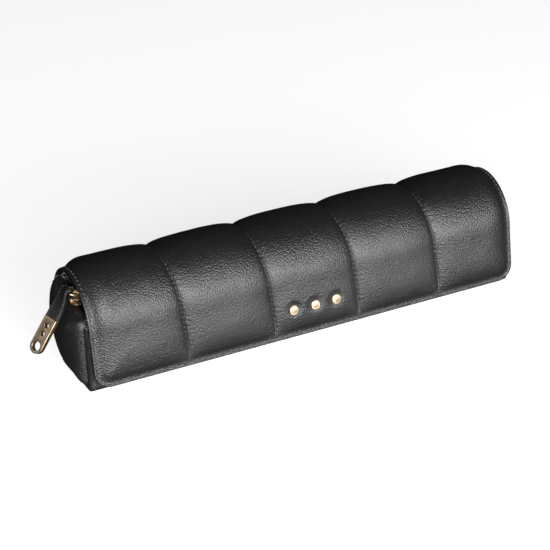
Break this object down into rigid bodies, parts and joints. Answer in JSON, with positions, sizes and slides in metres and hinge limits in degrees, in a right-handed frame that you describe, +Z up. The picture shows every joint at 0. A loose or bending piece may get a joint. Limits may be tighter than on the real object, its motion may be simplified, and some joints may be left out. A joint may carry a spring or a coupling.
{
  "type": "jewellery case",
  "caption": "Roll-shaped padded leather jewellery case with a quilted flap over a zipped top, pillow ends, studs, a leather zip pull, and ring rolls and compartments inside.",
  "frame": {"origin": "on the base surface, under the middle of the case's length and of its wrap's depth", "axes": "+X along the case, with the zip's parked slider and pull at -X; -Y is the front, where the flap closes; +Z up from the surface the case rests on"},
  "size_m": [0.3299, 0.0685, 0.0735],
  "materials": {
    "black_leather": "pebbled, satin",
    "suede_lining": "matte",
    "foam": "matte",
    "stiffener_board": "matte",
    "zip_tape": "matte",
    "pale_gold_metal": "satin",
    "hidden_steel": "satin"
  },
  "bodies": {
    "case_base": {"base_cover": "black_leather", "front_wall": "black_leather", "case_board": "stiffener_board", "case_lining": "suede_lining", "keeper_plates": "hidden_steel", "back_pad_1": "foam", "back_pad_2": "foam", "back_pad_3": "foam", "back_pad_4": "foam", "back_pad_5": "foam", "end_panel_left": "black_leather", "end_pad_left": "foam", "end_board_left": "stiffener_board", "end_lining_left": "suede_lining", "end_panel_right": "black_leather", "end_pad_right": "foam", "end_board_right": "stiffener_board", "end_lining_right": "suede_lining", "ring_bed": "suede_lining", "ring_roll_1": "suede_lining", "ring_roll_2": "suede_lining", "ring_roll_3": "suede_lining", "ring_roll_4": "suede_lining", "ring_roll_5": "suede_lining", "ring_roll_6": "suede_lining", "ring_roll_7": "suede_lining", "divider_1": "suede_lining", "divider_2": "suede_lining"},
    "front_top": {"front_facing": "black_leather", "front_facing_lining": "suede_lining", "zip_tape_front": "zip_tape", "zip_teeth_front": "pale_gold_metal"},
    "rear_lid": {"spine_leather": "black_leather", "spine_core": "stiffener_board", "rear_facing": "black_leather", "rear_facing_lining": "suede_lining", "zip_tape_rear": "zip_tape", "zip_teeth_rear": "pale_gold_metal"},
    "flap": {"flap_leather": "black_leather", "flap_pad_1": "foam", "flap_pad_2": "foam", "flap_pad_3": "foam", "flap_pad_4": "foam", "flap_pad_5": "foam", "flap_lining": "suede_lining", "flap_studs": "pale_gold_metal", "stud_washers": "pale_gold_metal", "flap_magnets": "hidden_steel"},
    "slider": {"zip_slider": "pale_gold_metal"},
    "ring": {"pull_ring": "pale_gold_metal"},
    "pull": {"pull_strap": "black_leather", "pull_tip": "pale_gold_metal"}
  },
  "joints": [
    {"name": "lid_hinge", "type": "hinge", "parent": "case_base", "child": "rear_lid", "pos_m": [0, 0.02934, 0.04624], "axis": [-1, 0, 0], "range_deg": [0, 75]},
    {"name": "front_top_hinge", "type": "hinge", "parent": "case_base", "child": "front_top", "pos_m": [0, -0.025, 0.0448], "axis": [1, 0, 0], "range_deg": [0, 75]},
    {"name": "flap_hinge", "type": "hinge", "parent": "rear_lid", "child": "flap", "pos_m": [0, 0.02364, 0.05847], "axis": [-1, 0, 0], "range_deg": [0, 120]},
    {"name": "zip_slide", "type": "slide", "parent": "case_base", "child": "slider", "axis": [1, 0, 0], "range_m": [0, 0.286], "deforming": ["pull_strap", "pull_tip"]},
    {"name": "ring_hinge", "type": "hinge", "parent": "slider", "child": "ring", "pos_m": [-0.1435, -0.0065, 0.0592], "axis": [0, 1, 0], "range_deg": [0, 15]},
    {"name": "strap_hinge", "type": "hinge", "parent": "ring", "child": "pull", "pos_m": [-0.1495, -0.0065, 0.0612], "axis": [0, 1, 0], "range_deg": [0, 150]}
  ],
  "couplings": [
    {"joint": "front_top_hinge", "follows": "lid_hinge", "ratio": 1}
  ]
}
